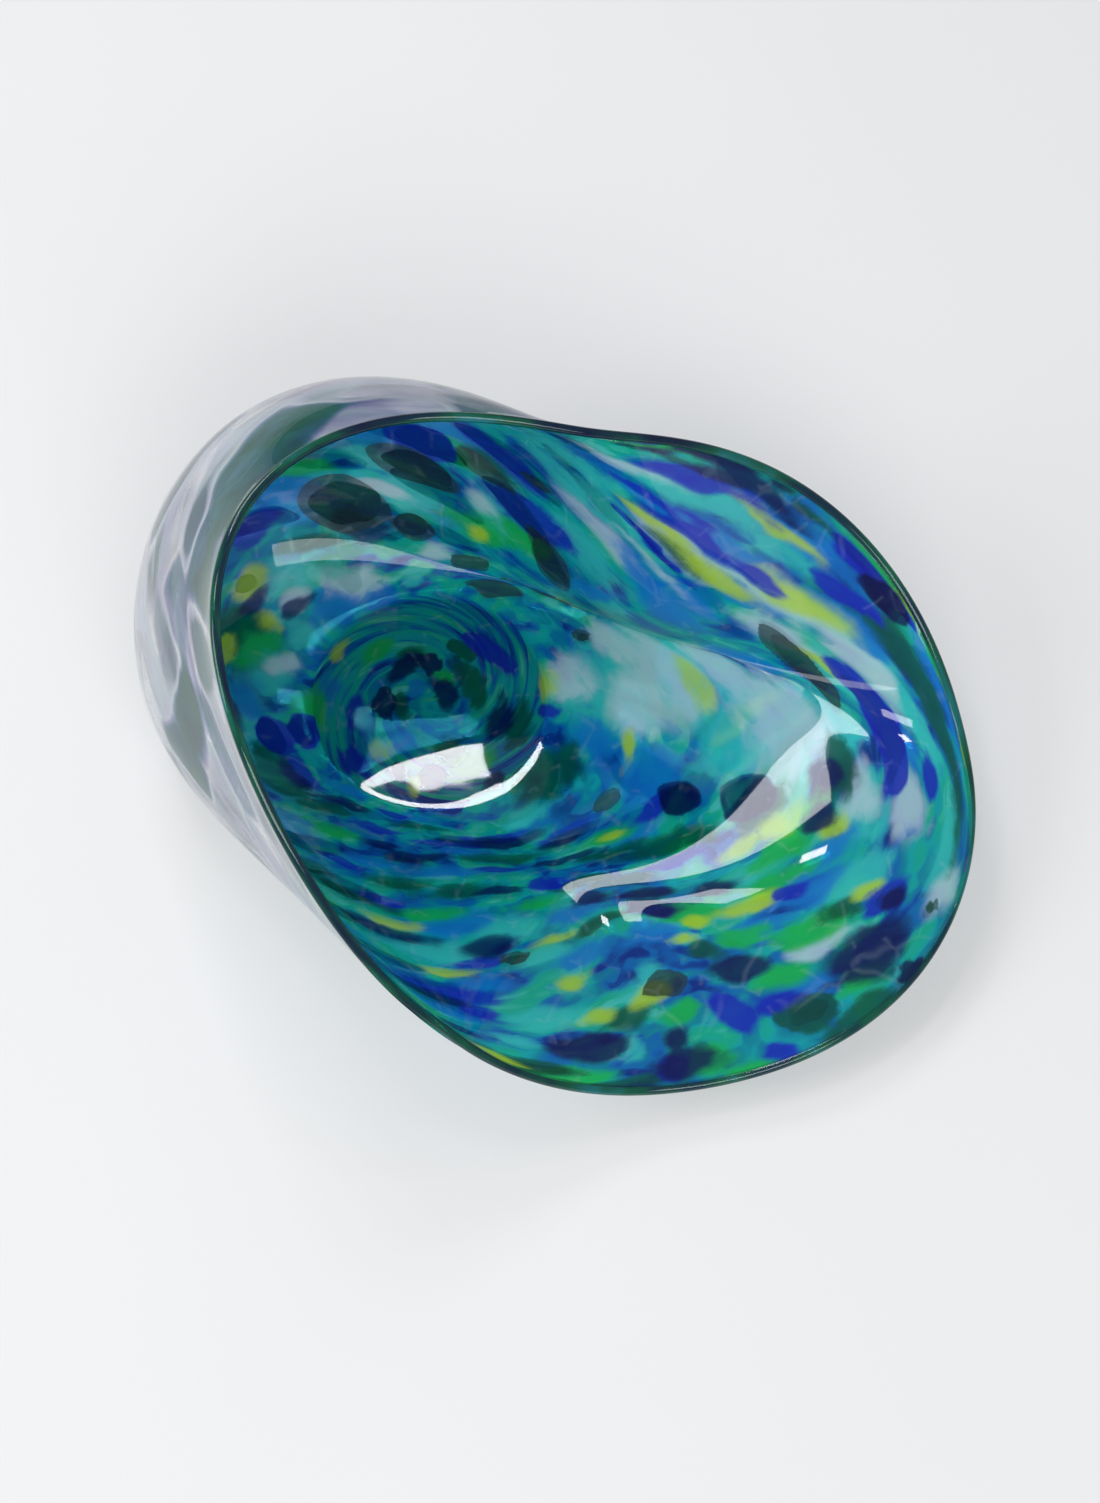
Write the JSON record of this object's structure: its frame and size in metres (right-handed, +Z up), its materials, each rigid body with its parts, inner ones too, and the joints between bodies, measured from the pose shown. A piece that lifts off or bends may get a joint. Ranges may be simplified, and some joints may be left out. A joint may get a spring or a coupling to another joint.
{
  "type": "blown glass vase",
  "caption": "Free-form blown glass vase with an open swept lip, a round bulb and a flat polished foot, cased over turquoise glass with coloured frit.",
  "frame": {"origin": "centre of the flat polished foot, on its resting face", "axes": "+Z up, +X towards the right-hand side of the open lip, -Y towards the front, where the lip droops"},
  "size_m": [0.293, 0.2343, 0.1477],
  "materials": {
    "clear_glass": "polished",
    "turquoise_glass": "polished",
    "rim_glass": "fire-polished",
    "navy_glass": "polished",
    "cobalt_glass": "polished",
    "emerald_glass": "polished",
    "lime_glass": "polished",
    "smoke_glass": "polished",
    "mint_glass": "polished",
    "pearl_lustre": "pearly lustre"
  },
  "bodies": {
    "root": {"foot_pad": "clear_glass", "outer_casing": "clear_glass", "colour_coat": "turquoise_glass", "inner_gather": "clear_glass", "lip_bead": "rim_glass", "navy_frit": "navy_glass", "cobalt_frit": "cobalt_glass", "emerald_frit": "emerald_glass", "lime_frit": "lime_glass", "smoke_frit": "smoke_glass", "mint_frit": "mint_glass", "pearl_frit": "pearl_lustre"}
  },
  "joints": []
}
